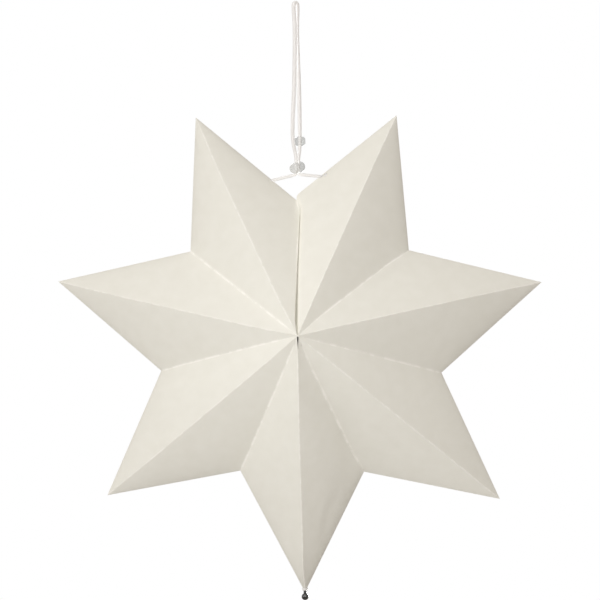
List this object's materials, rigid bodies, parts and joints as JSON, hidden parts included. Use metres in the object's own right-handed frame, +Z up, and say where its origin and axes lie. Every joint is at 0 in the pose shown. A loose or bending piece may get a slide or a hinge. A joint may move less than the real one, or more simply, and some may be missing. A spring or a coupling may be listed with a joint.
{
  "type": "hanging paper star",
  "caption": "Folded ivory paper star with hollow pleated points, hung by a doubled white cord through a translucent stopper and bead, with a small steel ball at its lowest tip.",
  "frame": {"origin": "underside of the cord loop's top, where a hook carries it", "axes": "+Z up along the hanging cord, the star's front apex faces -Y, +X to the right as seen from the front"},
  "size_m": [0.454, 0.14, 0.5639],
  "materials": {
    "ivory_paper": "matt, uncoated",
    "white_cord": "braided",
    "clear_silicone": "translucent, satin",
    "white_plastic": "glossy",
    "polished_steel": "polished"
  },
  "bodies": {
    "star": {"paper_star": "ivory_paper", "hanging_cord": "white_cord", "left_knot": "white_cord", "right_knot": "white_cord", "tip_collar": "white_plastic", "tip_weight": "polished_steel"},
    "stopper": {"cord_stopper": "clear_silicone"},
    "bead": {"strand_bead": "clear_silicone"}
  },
  "joints": [
    {"name": "stopper_slide", "type": "slide", "parent": "star", "child": "stopper", "axis": [0, 0, 1], "range_m": [0, 0.003]},
    {"name": "bead_slide", "type": "slide", "parent": "star", "child": "bead", "axis": [-0.0051, 0.0102, 0.9999], "range_m": [0, 0.012]}
  ]
}
